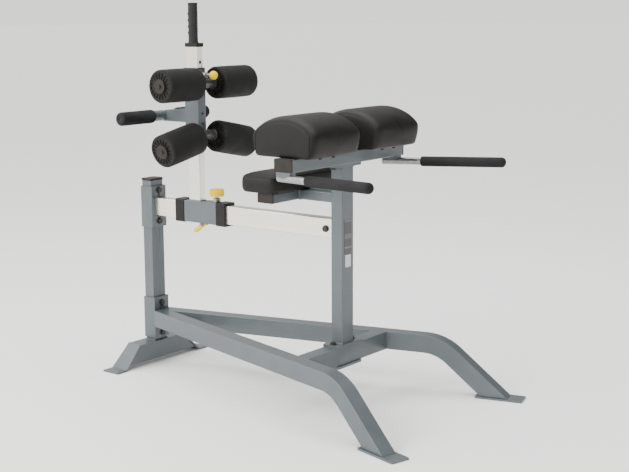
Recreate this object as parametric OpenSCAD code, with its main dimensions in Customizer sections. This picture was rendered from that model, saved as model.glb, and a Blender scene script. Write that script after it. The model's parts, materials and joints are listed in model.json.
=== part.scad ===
// Roman chair: a back-extension bench. A carriage with four foam rollers slides on a
// level rail between two posts, and the front post carries the thigh pads, the knee pad
// and two hand grips. +X runs from the rear post to the bent front legs and +Z is up.
// The origin is on the floor under the middle of the bench.

/* [Base] */
// Wall of the frame tubes
wall = 3; // [2:0.5:4]
// Angle of each base rail from the centre line
splay = 15; // [12:1:18]
// Width of a base rail
base_w = 48; // [40:1:56]
// Height of a base rail
base_h = 56; // [50:1:60]
// Height of the base rails' top above the floor
base_top = 182; // [176:1:188]
// Slope of the front legs below level
leg_angle = 40; // [36:1:44]
// Thickness of the foot and floor plates
foot_t = 6; // [4:1:8]

/* [Posts] */
// Length of a post's section along X
post_x = 42; // [38:1:46]
// Width of a post's section along Y
post_y = 57; // [50:1:60]
// Height of the rear post's top
rear_post_top = 625; // [620:1:640]
// Distance between the two posts' centres
post_gap = 798; // [780:1:815]

/* [Rail and carriage] */
// Width of the rail
rail_w = 35; // [32:1:36]
// Height of the rail's section
rail_h = 60; // [58:1:62]
// Height of the rail's centre line
rail_z = 538; // [530:1:545]
// Middle of the carriage, in front of the rear post
carriage_x = 238; // [225:1:260]
// Length of the carriage sleeve
sleeve_l = 142; // [138:1:150]
// Top of the upright
upright_top = 1071; // [1065:1:1090]

/* [Roller head] */
// Height of the upper roller axle
upper_axle_z = 955; // [950:1:960]
// Height of the lower axles at the centre line
lower_axle_z = 793; // [785:1:800]
// Droop of each lower axle
droop = 11.5; // [8:0.5:12]
// Radius of a foam roller
roller_r = 52; // [46:1:53]
// Length of a foam roller
roller_l = 157; // [130:1:160]

/* [Pads and handles] */
// Width of a thigh pad along Y
thigh_w = 234; // [215:1:236]
// Gap between the thigh pads
thigh_gap = 72; // [60:1:90]
// Highest point of the thigh pads
thigh_top = 891; // [880:1:900]
// Height of the crossbar's underside
crossbar_z = 737; // [730:1:745]
// Outward angle of each handle
handle_splay = 13.6; // [8:0.2:16]
// Length of a handle with its grip
handle_l = 398; // [360:1:420]

/* [Hidden] */
$fn = 64;

steel = "slategray";
bright = "gainsboro";
black = "#26262a";
yellow = "gold";

// Clearance of a bore round a part that is fixed in it
fit = 0.05;
// Radius of the frame bolts and of their holes
bolt_r = 5;
bolt_hole_r = 5.4;

// Sides: +1 is left (+Y) and -1 is right
SIDES = [1, -1];

// Rear foot: a tube across the bench with a sloping plate over each slanted end
foot_tube_w = 60;
foot_tube_z = [15, 75];
foot_slope_top = [104, 78];
foot_slope_end = 177;
foot_tab_end = 219;
foot_dir = [foot_slope_end, foot_t] - foot_slope_top;
foot_unit = foot_dir / norm(foot_dir);
foot_inner_top = foot_slope_top + foot_t * [foot_unit.y, -foot_unit.x];
foot_plate_w = [56, 70];
function foot_inner_y(z) = foot_inner_top.x + (foot_inner_top.y - z) * foot_unit.x / -foot_unit.y;

// Base rails: their centre lines meet behind the rear post's centre
rail_apex = -15;
bend_start = 983;
bend_r = 143;
floor_plate_s = [1153, 1301];
floor_plate_w = 62;
base_mid_z = base_top - base_h / 2;
function inner_face_y(x) = (x - rail_apex) * tan(splay) - base_w / 2 / cos(splay);

// Middle of the length, so that the origin is under the middle of the bench
front_reach = rail_apex + floor_plate_s[1] * cos(splay) + floor_plate_w / 2 * sin(splay);
rear_post_pos = (foot_plate_w[1] / 2 - front_reach) / 2;

// Brackets on the rear post
bracket_web = 8;
bracket_flange = 5;
bracket_back = 22;
web_x = post_x / 2 + bracket_web;
lower_bracket_z = [85, 226];
upper_bracket_z = [467, 606];
lower_bolts_z = [100, 206];
upper_bolts_z = [487, 592];

// Cross member and the plates clamped on it
cross_w = 50;
clamp_bolt_y = 47;
clamp_t = 8;
clamp_size = [60, 124];
post_base_z = base_top + clamp_t;

// Crossbar, its plates and the pads on it
crossbar_w = 64;
crossbar_h = 38;
crossbar_half = 275;
crossbar_top = crossbar_z + crossbar_h;
cap_t = 4;
top_plate_t = 8;
top_bolt_y = 45;
mount_t = 4;
mount_x = 72;
mount_y = 90;
screw_x = 60;
screw_y = 31;
board_t = 11;
thigh_z = crossbar_top + mount_t;
thigh_y = (thigh_gap + thigh_w) / 2;
pad_gap = 0.4;
thigh_x = post_gap - 13;
thigh_arc_r = 150;
thigh_foot = 98;
thigh_waist = 118;
thigh_waist_z = 835;
thigh_board = [176, 206];

// Knee pad and its T frame
knee_x = 622;
knee_z = 618;
knee_bar = [60, 290, 29];
knee_arm_w = 44;
knee_top = knee_z + knee_bar.z;
knee_pad = [140, 330, 62];
knee_pad_x = 600;
knee_board = [100, 290, 10];
knee_screw_y = 95;

// Handles under the crossbar's ends
handle_r = 11;
handle_start = [767, 257, 717];
handle_rise = 1.7;
handle_grip_r = 15.5;
handle_bare = 128;

// Rail ends and rail bolt
rail_wall = 3;
rail_front = post_gap - post_x / 2;
rail_bolt_x = post_gap - 49;
tongue_l = 62;
tongue_gap = 0.5;

// Carriage: sleeve with a plastic bush in each end
slide_gap = 0.25;
sleeve_w = 47;
sleeve_h = 71;
sleeve_wall = 4;
collar_l = 37;
collar_w = 51;
collar_h = 76;
liner_l = 30;
sleeve_top = rail_z + sleeve_h / 2;
sleeve_bottom = rail_z - sleeve_h / 2;

// Clamp screw with its knob, and the lever under the carriage
screw_r = 5;
running_gap = 0.06;
clamp_x = carriage_x + 54;
boss_h = 14;
knob_r = 24;
knob_z = 594;
knob_h = 22;
knob_flutes = 20;
lever_x = carriage_x - 5;
lever_z = 496.5;
lever_eye_r = 5.4;
lever_half = 5.2;
lever_pin_r = 2.5;
lever_w = 16;
lever_l = 49;
lever_angle = 36;

// Upright and the grip on top of it
upright_x = carriage_x - 32;
upright_w = [50, 27];
upright_wall = 2.5;
pin_z = 982;
hole_pitch = 40;
hole_steps = [-4:1:1];
upright_cap_size = [56, 32, 12];
stem_r = 8;
grip_r = 15.5;
grip_bottom = upright_top + upright_cap_size.z;
grip_top = 1210;

// Roller head: sleeve on the upright, axle tubes welded across its front
head_w = [61, 36];
head_z = [755, 1001];
head_wall = 3;
head_liner_h = 12;
head_lip = 3;
axle_tube_r = 15;
axle_r = 8;
axle_x = upright_x + head_w.x / 2 + axle_tube_r - 0.5;
hub_y = 29;
hub_disc_r = 20;
hub_disc_t = 6;
spacer_r = 12;
roller_start = 47;
end_play = 0.5;
cap_disc_r = 22;
cap_disc_t = 4;
core_r = 22;
core_cap_r = 44;
core_cap_t = 7;
rib_h = 3;
ribs = 18;

// Foot bar behind the head
foot_bar_x = 65;
foot_bar_z = 845;
foot_bar_r = 13;
foot_bar_half = 196;
foot_grip_r = 22;
foot_grip_y = [57, 202];
foot_collar_r = 17.5;
arm_w = 18;

// Pull pin with its ball, on the head's front face
head_front = upright_x + head_w.x / 2;
housing_r = 9;
housing_l = 23;
cavity = [4, 20];
pin_r = 5;
pin_nose = upright_x + upright_w.x / 2 + 0.4;
pin_collar = [13, 15];
pin_collar_r = 6.8;
ball_r = 13.8;
ball_x = head_front + 51.5;

module place() {
    translate([rear_post_pos, 0, 0]) children();
}

// Rectangle with round corners, centred
module rounded(w, h, r) {
    square([w - 2 * r, h], center = true);
    square([w, h - 2 * r], center = true);
    for (x = [-1, 1], y = [-1, 1])
        translate([x * (w / 2 - r), y * (h / 2 - r)]) circle(r, $fn = 32);
}

// Upright tube with round outer corners, standing on z = 0
module tube(w, h, t, length, r = 3) {
    linear_extrude(length) difference() {
        rounded(w, h, r);
        square([w - 2 * t, h - 2 * t], center = true);
    }
}

// The same tube along +X, its height h along Z
module tube_x(w, h, t, length, r = 3) {
    rotate([0, 90, 0]) tube(h, w, t, length, r);
}

// The same tube along Y, centred, its height h along Z
module tube_y(w, h, t, length, r = 3) {
    rotate([90, 0, 0]) translate([0, 0, -length / 2]) tube(w, h, t, length, r);
}

// Flat plate with round corners, standing on z = 0
module plate(w, h, t, r = 6) {
    linear_extrude(t) rounded(w, h, r);
}

// Bolt with head, washer and nut: the head is above z = 0 and the nut under -grip
module bolt(r, grip) {
    cylinder(r = 2.2 * r, h = 1.5);
    cylinder(r = 1.85 * r, h = 1.5 + 1.2 * r, $fn = 6);
    translate([0, 0, -grip - 3]) cylinder(r = r, h = grip + 4);
    translate([0, 0, -grip - 1.1 * r]) cylinder(r = 1.85 * r, h = 1.1 * r, $fn = 6);
}

// Plug with a flat head that closes a tube's end, the head above z = 0
module tube_cap(w, h, t, head = cap_t) {
    plate(w, h, head, 3);
    translate([0, 0, -12]) linear_extrude(12) square([w - 2 * t - 0.2, h - 2 * t - 0.2], center = true);
}

// ---- base ----

module rear_foot_outline(z0, z1, extra) {
    polygon([
        [-foot_inner_y(z1) - extra, z1], [foot_inner_y(z1) + extra, z1],
        [foot_inner_y(z0) + extra, z0], [-foot_inner_y(z0) - extra, z0]
    ]);
}

module rear_foot() color(steel) place() rotate([90, 0, 90]) difference() {
    linear_extrude(foot_tube_w, center = true)
        rear_foot_outline(foot_tube_z[0], foot_tube_z[1], 0);
    linear_extrude(foot_tube_w - 2 * wall, center = true)
        rear_foot_outline(foot_tube_z[0] + wall, foot_tube_z[1] - wall, 20);
}

module foot_plate() intersection() {
    rotate([90, 0, 90]) linear_extrude(foot_plate_w[1], center = true) polygon([
        foot_slope_top, [foot_slope_end, foot_t], [foot_tab_end, foot_t], [foot_tab_end, 0],
        [foot_inner_y(0), 0], foot_inner_top
    ]);
    linear_extrude(foot_slope_top.y) polygon([
        [-foot_plate_w[0] / 2, foot_inner_top.x - 1], [foot_plate_w[0] / 2, foot_inner_top.x - 1],
        [foot_plate_w[1] / 2, foot_slope_end], [foot_plate_w[1] / 2, foot_tab_end],
        [-foot_plate_w[1] / 2, foot_tab_end], [-foot_plate_w[1] / 2, foot_slope_end]
    ]);
}

module rear_foot_plates() color(steel) place() {
    foot_plate();
    mirror([0, 1, 0]) foot_plate();
}

module rear_post() color(steel) place() difference() {
    translate([0, 0, foot_tube_z[1]]) tube(post_x, post_y, wall, rear_post_top - foot_tube_z[1]);
    bracket_bolt_places() cylinder(r = bolt_hole_r, h = 200, center = true);
}

// Puts children at each bracket bolt, with +Z along the bolt toward its head
module bracket_bolt_places() {
    for (z = concat(lower_bolts_z, upper_bolts_z))
        translate([web_x, 0, z]) rotate([0, 90, 0]) children();
}

module bracket(z) color(steel) place() difference() {
    translate([0, 0, z[0]]) linear_extrude(z[1] - z[0]) difference() {
        translate([-bracket_back, -post_y / 2 - bracket_flange])
            square([bracket_back + web_x, post_y + 2 * bracket_flange]);
        translate([-bracket_back - 1, -post_y / 2])
            square([bracket_back + 1 + post_x / 2, post_y]);
    }
    bracket_bolt_places() cylinder(r = bolt_hole_r, h = 200, center = true);
}

module lower_bracket() bracket(lower_bracket_z);

module upper_bracket() bracket(upper_bracket_z);

// Side view of a base rail of height h: level, an arc, then the sloping leg
module base_rail_side(h) {
    translate([0, -h / 2]) square([bend_start, h]);
    translate([bend_start, -bend_r]) intersection() {
        difference() {
            circle(bend_r + h / 2, $fn = 128);
            circle(bend_r - h / 2, $fn = 128);
        }
        polygon([[0, 0], [0, 2 * bend_r], 2 * bend_r * [sin(leg_angle), cos(leg_angle)]]);
    }
    translate([bend_start, -bend_r] + bend_r * [sin(leg_angle), cos(leg_angle)])
        rotate(-leg_angle) translate([-1, -h / 2]) square([300, h]);
}

module base_rail(side) color(steel) place() difference() {
    translate([rail_apex, 0, base_mid_z]) rotate([90, 0, side * splay]) difference() {
        linear_extrude(base_w, center = true) base_rail_side(base_h);
        linear_extrude(base_w - 2 * wall, center = true) base_rail_side(base_h - 2 * wall);
    }
    translate([-200, -300, 0]) cube([200 + web_x, 600, 300]);
    translate([-100, side > 0 ? -500 : 0, 0]) cube([1500, 500, 300]);
    translate([500, -600, foot_t - 400]) cube([1500, 1200, 400]);
}

module base_rail_left() base_rail(1);

module base_rail_right() base_rail(-1);

module front_foot_plates() color(steel) place() for (side = SIDES)
    translate([rail_apex, 0, 0]) rotate([0, 0, side * splay])
        translate([(floor_plate_s[0] + floor_plate_s[1]) / 2, 0, 0])
            plate(floor_plate_s[1] - floor_plate_s[0], floor_plate_w, foot_t, 4);

// Plan of the cross member between the rails' inner faces
module cross_plan(w, extra) {
    polygon([
        [-w / 2, -inner_face_y(post_gap - w / 2) - extra],
        [w / 2, -inner_face_y(post_gap + w / 2) - extra],
        [w / 2, inner_face_y(post_gap + w / 2) + extra],
        [-w / 2, inner_face_y(post_gap - w / 2) + extra]
    ]);
}

// Puts children at each bolt that clamps the front post to the cross member
module clamp_bolt_places() {
    for (side = SIDES) translate([post_gap, side * clamp_bolt_y, post_base_z]) children();
}

module cross_member() color(steel) place() difference() {
    translate([post_gap, 0, base_top - base_h]) difference() {
        linear_extrude(base_h) cross_plan(cross_w, 0);
        translate([0, 0, wall]) linear_extrude(base_h - 2 * wall) cross_plan(cross_w - 2 * wall, 20);
    }
    clamp_bolt_places() cylinder(r = bolt_hole_r, h = 200, center = true);
}

module clamp(z) color(steel) place() difference() {
    translate([post_gap, 0, z]) plate(clamp_size.x, clamp_size.y, clamp_t);
    clamp_bolt_places() cylinder(r = bolt_hole_r, h = 200, center = true);
}

module base_plate() clamp(base_top);

module clamp_plate() clamp(base_top - base_h - clamp_t);

module front_post() color(steel) place() translate([post_gap, 0, post_base_z])
    tube(post_x, post_y, wall, crossbar_z - top_plate_t - post_base_z);

// ---- crossbar, pads and handles ----

// Puts children at each bolt under the top plate, +Z toward its head
module top_bolt_places() {
    for (side = SIDES)
        translate([post_gap, side * top_bolt_y, crossbar_z - top_plate_t]) rotate([180, 0, 0]) children();
}

// Puts children at a handle's start, +Z along the handle
module handle_place(side) {
    translate([handle_start.x, side * handle_start.y, handle_start.z])
        rotate([0, 0, side * handle_splay]) rotate([0, 90 - handle_rise, 0]) children();
}

// Block that fills the space between a handle tube and the crossbar
module handle_saddle(side) difference() {
    translate([handle_start.x + 5, side * (handle_start.y + 8) - 13, handle_start.z + 5])
        cube([50, 26, crossbar_z - handle_start.z - 5]);
    handle_place(side) cylinder(r = handle_r + fit, h = 200, center = true);
}

module crossbar_plates() color(steel) place() {
    difference() {
        translate([post_gap, 0, crossbar_z - top_plate_t]) plate(58, 120, top_plate_t);
        top_bolt_places() cylinder(r = bolt_hole_r, h = 60, center = true);
    }
    for (side = SIDES) handle_saddle(side);
}

module crossbar() color(steel) place() difference() {
    translate([post_gap, 0, crossbar_z + crossbar_h / 2])
        tube_y(crossbar_w, crossbar_h, wall, 2 * crossbar_half);
    top_bolt_places() cylinder(r = bolt_hole_r, h = 30, center = true);
}

module tube_caps() color(black) place() {
    for (turn = [90, -90]) {
        translate([post_gap, -sign(turn) * crossbar_half, crossbar_z + crossbar_h / 2])
            rotate([turn, 0, 0]) tube_cap(crossbar_w, crossbar_h, wall);
        translate([knee_x, -sign(turn) * knee_bar.y / 2, knee_z + knee_bar.z / 2])
            rotate([turn, 0, 0]) tube_cap(knee_bar.x, knee_bar.z, wall);
    }
    translate([0, 0, rear_post_top]) tube_cap(post_x + 2, post_y + 2, wall + 1, 7);
}

// Puts children at each thigh pad screw's seat under a mounting plate
module thigh_screw_places() {
    for (side = SIDES, x = [-1, 1], y = [-1, 1])
        translate([post_gap + x * screw_x, side * thigh_y + y * screw_y, crossbar_top]) children();
}

module pad_mounts() color(steel) place() difference() {
    for (side = SIDES) translate([post_gap, side * thigh_y, crossbar_top])
        plate(2 * mount_x, mount_y, mount_t);
    thigh_screw_places() cylinder(r = 3.4, h = 20, center = true);
}

module thigh_board_shape(side) {
    translate([thigh_x, side * thigh_y, thigh_z]) plate(thigh_board.x, thigh_board.y, board_t);
}

module knee_board_shape() {
    translate([knee_pad_x, 0, knee_top]) plate(knee_board.x, knee_board.y, knee_board.z);
}

module pad_boards() color("peru") place() difference() {
    union() {
        for (side = SIDES) thigh_board_shape(side);
        knee_board_shape();
    }
    thigh_screw_places() cylinder(r = 3.1, h = 26, center = true);
    for (side = SIDES) translate([knee_x, side * knee_screw_y, knee_top])
        cylinder(r = 3.1, h = 16, center = true);
}

// End view of a thigh pad: an arch on a base that narrows downward
module thigh_outline() intersection() {
    translate([0, thigh_top - thigh_arc_r]) circle(thigh_arc_r, $fn = 128);
    polygon([
        [-thigh_foot, crossbar_top + pad_gap], [thigh_foot, crossbar_top + pad_gap],
        [thigh_waist, thigh_waist_z],
        [thigh_waist, thigh_top + 1], [-thigh_waist, thigh_top + 1],
        [-thigh_waist, thigh_waist_z]
    ]);
}

module thigh_pad(side) color(black) place() difference() {
    translate([thigh_x, side * thigh_y, 0])
        rotate([90, 0, 0]) linear_extrude(thigh_w, center = true) thigh_outline();
    thigh_board_shape(side);
    translate([0, 0, -board_t + 1]) thigh_board_shape(side);
}

module thigh_pad_left() thigh_pad(1);

module thigh_pad_right() thigh_pad(-1);

module knee_arm() color(steel) place()
    translate([knee_x + knee_bar.x / 2, 0, knee_z + knee_bar.z / 2])
        tube_x(knee_arm_w, knee_bar.z, wall, rail_front - knee_x - knee_bar.x / 2);

module knee_crossbar() color(steel) place() difference() {
    translate([knee_x, 0, knee_z + knee_bar.z / 2]) tube_y(knee_bar.x, knee_bar.z, wall, knee_bar.y);
    for (side = SIDES) translate([knee_x, side * knee_screw_y, knee_z])
        cylinder(r = 3.4, h = 80, center = true);
}

module knee_pad() color(black) place() difference() {
    translate([knee_pad_x, 0, knee_top]) plate(knee_pad.x, knee_pad.y, knee_pad.z, 18);
    knee_board_shape();
}

// Screw with a domed washer, its head under z = 0
module pad_screw(length) {
    translate([0, 0, -1.5]) cylinder(r = 8, h = 1.5);
    translate([0, 0, -6]) cylinder(r = 5.5, h = 6, $fn = 6);
    cylinder(r = 3, h = length);
}

module pad_screws() color(black) place() {
    thigh_screw_places() pad_screw(12);
    for (side = SIDES) translate([knee_x, side * knee_screw_y, knee_z]) pad_screw(knee_bar.z + 7);
}

module handle_tubes() color(bright) place() for (side = SIDES) handle_place(side) difference() {
    cylinder(r = handle_r, h = handle_l - 14);
    translate([0, 0, -1]) cylinder(r = handle_r - 2, h = handle_l - 15);
}

module handle_grips() color(black) place() for (side = SIDES) handle_place(side) difference() {
    union() {
        translate([0, 0, handle_bare])
            cylinder(r = handle_grip_r, h = handle_l - handle_grip_r - handle_bare);
        translate([0, 0, handle_l - handle_grip_r]) sphere(handle_grip_r);
    }
    translate([0, 0, -1]) cylinder(r = handle_r + fit, h = handle_l - 12.5);
}

// ---- rail ----

// Puts children at the rail bolt's head, on the rail's right face
module rail_bolt_place() {
    translate([rail_bolt_x, -rail_w / 2, rail_z - 2]) rotate([90, 0, 0]) children();
}

module rail() color(bright) place() difference() {
    translate([web_x, 0, rail_z]) tube_x(rail_w, rail_h, rail_wall, rail_front - web_x);
    rail_bolt_place() cylinder(r = bolt_hole_r, h = 100, center = true);
}

module rail_tongue() color(steel) place() difference() {
    translate([rail_front - tongue_l, 0, rail_z])
        tube_x(rail_w - 2 * rail_wall - 2 * tongue_gap, rail_h - 2 * rail_wall - 2 * tongue_gap,
            wall, tongue_l, 1);
    rail_bolt_place() cylinder(r = bolt_hole_r, h = 100, center = true);
}

module frame_bolts() color(black) place() {
    bracket_bolt_places() bolt(bolt_r, bracket_web + post_x);
    clamp_bolt_places() bolt(bolt_r, 2 * clamp_t + base_h);
    top_bolt_places() bolt(bolt_r, top_plate_t + wall);
    rail_bolt_place() bolt(bolt_r, rail_w);
}

module label_plates() color(black) place() translate([post_gap + post_x / 2, 0, 0]) {
    translate([0, 0, 516]) rotate([0, 90, 0]) plate(104, 33, 0.8, 2);
    translate([0, 0, 443]) rotate([0, 90, 0]) plate(38, 27, 0.8, 2);
}

// ---- carriage ----

module carriage_sleeve() color(steel) place() difference() {
    translate([carriage_x - sleeve_l / 2, 0, rail_z]) tube_x(sleeve_w, sleeve_h, sleeve_wall, sleeve_l);
    translate([clamp_x, 0, sleeve_top]) cylinder(r = screw_r + running_gap, h = 20, center = true);
}

// Bush in the sleeve's end at +X: an outer collar and a thin liner inside the sleeve
module bush() difference() {
    union() {
        translate([sleeve_l / 2, 0, 0]) rotate([0, 90, 0])
            linear_extrude(collar_l) rounded(collar_h, collar_w, 4);
        translate([sleeve_l / 2 - liner_l, 0, 0]) rotate([0, 90, 0]) linear_extrude(liner_l)
            square([sleeve_h - 2 * sleeve_wall - 0.2, sleeve_w - 2 * sleeve_wall - 0.2], center = true);
    }
    translate([sleeve_l / 2, 0, 0])
        cube([200, rail_w + 2 * slide_gap, rail_h + 2 * slide_gap], center = true);
    translate([clamp_x - carriage_x, 0, rail_h / 2]) cylinder(r = screw_r + 0.5, h = 10, center = true);
}

module carriage_bushes() color(black) place() translate([carriage_x, 0, rail_z]) {
    bush();
    mirror([1, 0, 0]) bush();
}

module clamp_boss() color(steel) place() translate([clamp_x, 0, sleeve_top]) difference() {
    cylinder(r = 13, h = boss_h, $fn = 6);
    cylinder(r = screw_r + running_gap, h = 3 * boss_h, center = true);
}

module clamp_screw() color(bright) place()
    translate([clamp_x, 0, rail_z + rail_h / 2 + 0.6]) cylinder(r = screw_r, h = 36);

module clamp_knob() color(yellow) place() translate([clamp_x, 0, knob_z]) difference() {
    union() {
        cylinder(r = knob_r - 1.5, h = knob_h);
        translate([0, 0, 2]) cylinder(r = knob_r, h = knob_h - 4);
    }
    for (i = [0:knob_flutes - 1]) rotate([0, 0, i * 360 / knob_flutes])
        translate([knob_r + 1, 0, -1]) cylinder(r = 2.6, h = knob_h + 2, $fn = 24);
    translate([0, 0, -1]) cylinder(r = screw_r + fit, h = 12.5);
}

// Ears under the sleeve that hold the clamp lever's pin
module lever_ears() color(steel) place() for (side = SIDES) difference() {
    translate([lever_x - 6, side * (lever_w / 2 + 2.5) - 2, lever_z - 5])
        cube([12, 4, sleeve_bottom - lever_z + 5]);
    translate([lever_x, 0, lever_z]) rotate([90, 0, 0])
        cylinder(r = lever_pin_r + fit, h = 60, center = true);
}

module lever_pin() color(bright) place() translate([lever_x, 0, lever_z]) rotate([90, 0, 0])
    cylinder(r = lever_pin_r, h = lever_w + 10, center = true);

module clamp_lever() color(yellow) place() translate([lever_x, 0, lever_z])
    rotate([90, 180 - lever_angle, 0]) linear_extrude(lever_w, center = true) difference() {
        union() {
            circle(lever_eye_r);
            translate([0, -lever_half]) square([lever_l - lever_half, 2 * lever_half]);
            translate([lever_l - lever_half, 0]) circle(lever_half, $fn = 32);
        }
        circle(lever_pin_r + running_gap);
    }

module upright() color(bright) place() difference() {
    translate([upright_x, 0, sleeve_top])
        tube(upright_w.x, upright_w.y, upright_wall, upright_top - sleeve_top);
    for (i = hole_steps) translate([upright_x + upright_w.x / 2, 0, pin_z + i * hole_pitch])
        rotate([0, 90, 0]) cylinder(r = pin_r + 0.4, h = 10, center = true);
}

module upright_cap() color(black) place() translate([upright_x, 0, upright_top]) {
    plate(upright_cap_size.x, upright_cap_size.y, upright_cap_size.z, 4);
    translate([0, 0, -15]) linear_extrude(15)
        square([upright_w.x - 2 * upright_wall - 0.2, upright_w.y - 2 * upright_wall - 0.2], center = true);
}

module grip_stem() color(bright) place()
    translate([upright_x, 0, grip_bottom]) cylinder(r = stem_r, h = grip_top - grip_bottom - 6);

// Rubber grip with a flange at each end and finger ridges on its rear side
module top_grip() color(black) place() translate([upright_x - 3, 0, grip_bottom]) difference() {
    union() {
        cylinder(r = grip_r, h = grip_top - grip_bottom);
        cylinder(r = grip_r + 2, h = 5);
        translate([0, 0, grip_top - grip_bottom - 4]) cylinder(r = grip_r + 2, h = 4);
        for (i = [1:4]) translate([-3, 0, 9 + i * 20]) cylinder(r = grip_r - 0.6, h = 7);
    }
    translate([3, 0, -1]) cylinder(r = stem_r + fit, h = grip_top - grip_bottom - 4.5);
}

// ---- roller head ----

module height_sleeve() color(steel) place() difference() {
    translate([upright_x, 0, head_z[0]]) tube(head_w.x, head_w.y, head_wall, head_z[1] - head_z[0]);
    translate([head_front, 0, pin_z]) rotate([0, 90, 0])
        cylinder(r = pin_r + 0.3, h = 10, center = true);
}

// Liner in the head sleeve's top end, with a thin lip over the edge
module head_liner() difference() {
    union() {
        translate([0, 0, -head_liner_h]) linear_extrude(head_liner_h)
            square([head_w.x - 2 * head_wall - 0.2, head_w.y - 2 * head_wall - 0.2], center = true);
        plate(head_w.x, head_w.y, head_lip, 3);
    }
    cube([upright_w.x + 2 * slide_gap, upright_w.y + 2 * slide_gap, 60], center = true);
}

module height_liners() color(black) place() translate([upright_x, 0, 0]) {
    translate([0, 0, head_z[1]]) head_liner();
    translate([0, 0, head_z[0]]) mirror([0, 0, 1]) head_liner();
}

// Roller places: +Z of the children runs outward along the axle
ROLLERS = [
    [upper_axle_z, 1, 0], [upper_axle_z, -1, 0],
    [lower_axle_z, 1, droop], [lower_axle_z, -1, droop]
];

module roller_place(i) {
    translate([axle_x, 0, ROLLERS[i][0]]) rotate([-ROLLERS[i][1] * (90 + ROLLERS[i][2]), 0, 0])
        children();
}

// Half space on one side of the middle plane, for mitred axle tubes
module half_space(side) {
    translate([0, side > 0 ? 0 : -400, 500]) cube([500, 400, 600]);
}

module axle_tubes() color(bright) place() difference() {
    for (i = [0:3]) {
        intersection() {
            roller_place(i) translate([0, 0, -10]) cylinder(r = axle_tube_r, h = hub_y + 10);
            half_space(ROLLERS[i][1]);
        }
        roller_place(i) translate([0, 0, hub_y]) cylinder(r = hub_disc_r, h = hub_disc_t);
        roller_place(i) translate([0, 0, hub_y + hub_disc_t])
            cylinder(r = spacer_r, h = roller_start - end_play - hub_y - hub_disc_t);
    }
    for (i = [0:3]) intersection() {
        roller_place(i) translate([0, 0, -10]) cylinder(r = axle_r, h = 100);
        half_space(ROLLERS[i][1]);
    }
    translate([upright_x - head_w.x / 2, -50, head_z[0]]) cube([head_w.x, 100, 300]);
}

module axle(i) {
    roller_length = roller_start + roller_l + end_play;
    intersection() {
        roller_place(i) {
            translate([0, 0, -10]) cylinder(r = axle_r, h = roller_length + 10 + 2);
            translate([0, 0, roller_length]) cylinder(r = cap_disc_r, h = cap_disc_t);
            translate([0, 0, roller_length]) cylinder(r = 7, h = cap_disc_t + 4, $fn = 6);
        }
        half_space(ROLLERS[i][1]);
    }
}

module axles() color(black) place() for (i = [0:3]) axle(i);

// Outline of a roller core's ribbed face
module ribbed_face() difference() {
    union() {
        difference() {
            circle(core_cap_r);
            circle(core_cap_r - 3);
        }
        circle(cap_disc_r + 2);
        for (i = [0:ribs - 1]) rotate(i * 360 / ribs)
            translate([cap_disc_r, -1.2]) square([core_cap_r - cap_disc_r - 1, 2.4]);
    }
    circle(axle_r + running_gap);
}

// Plastic core of a roller: a tube between two ribbed end caps, on +Z from 0
module roller_core_shape() {
    difference() {
        union() {
            cylinder(r = core_r, h = roller_l);
            translate([0, 0, rib_h]) cylinder(r = core_cap_r, h = core_cap_t - rib_h);
            translate([0, 0, roller_l - core_cap_t]) cylinder(r = core_cap_r, h = core_cap_t - rib_h);
        }
        translate([0, 0, -1]) cylinder(r = axle_r + running_gap, h = roller_l + 2);
        translate([0, 0, -1]) cylinder(r = core_r + 1, h = rib_h + 1);
        translate([0, 0, roller_l - rib_h]) cylinder(r = core_r + 1, h = rib_h + 1);
    }
    linear_extrude(rib_h) ribbed_face();
    translate([0, 0, roller_l - rib_h]) linear_extrude(rib_h) ribbed_face();
}

module roller_core(i) color(black) place() roller_place(i)
    translate([0, 0, roller_start]) roller_core_shape();

module roller_foam(i) color(black) place() roller_place(i) translate([0, 0, roller_start]) difference() {
    cylinder(r = roller_r, h = roller_l);
    translate([0, 0, -1]) cylinder(r = core_r + fit, h = roller_l + 2);
    translate([0, 0, -1]) cylinder(r = core_cap_r + fit, h = core_cap_t + 1);
    translate([0, 0, roller_l - core_cap_t]) cylinder(r = core_cap_r + fit, h = core_cap_t + 1);
}

module foot_bar_arm() color(steel) place() difference() {
    rotate([90, 0, 0]) linear_extrude(arm_w, center = true) polygon([
        [upright_x - head_w.x / 2, 827], [upright_x - head_w.x / 2, 873],
        [foot_bar_x, 861], [foot_bar_x, 827]
    ]);
    translate([foot_bar_x, 0, foot_bar_z]) rotate([90, 0, 0])
        cylinder(r = foot_bar_r + fit, h = 100, center = true);
}

// Collar between the arm and a grip, with two grooves
module foot_bar_collar() difference() {
    translate([0, 0, arm_w / 2 + 0.1])
        cylinder(r = foot_collar_r, h = foot_grip_y[0] - arm_w / 2 - 0.2);
    for (z = [30, 44]) translate([0, 0, z]) difference() {
        cylinder(r = foot_collar_r + 1, h = 3);
        cylinder(r = foot_collar_r - 1.5, h = 20, center = true);
    }
}

module foot_bar() color(steel) place() translate([foot_bar_x, 0, foot_bar_z]) rotate([90, 0, 0]) {
    difference() {
        union() {
            cylinder(r = foot_bar_r, h = 2 * foot_bar_half, center = true);
            for (side = SIDES) mirror([0, 0, side > 0 ? 0 : 1]) foot_bar_collar();
        }
        cylinder(r = foot_bar_r - 2.5, h = 2 * foot_bar_half + 2, center = true);
    }
}

module foot_bar_grips() color(black) place() translate([foot_bar_x, 0, foot_bar_z]) for (side = SIDES)
    rotate([-90 * side, 0, 0]) difference() {
        union() {
            translate([0, 0, foot_grip_y[0]])
                cylinder(r = foot_grip_r, h = foot_grip_y[1] - foot_grip_y[0] - 4);
            translate([0, 0, foot_grip_y[0]])
                cylinder(r = foot_grip_r - 4, h = foot_grip_y[1] - foot_grip_y[0]);
        }
        translate([0, 0, foot_grip_y[0] - 1])
            cylinder(r = foot_bar_r + fit, h = foot_bar_half - foot_grip_y[0] + 1.5);
    }

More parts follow.
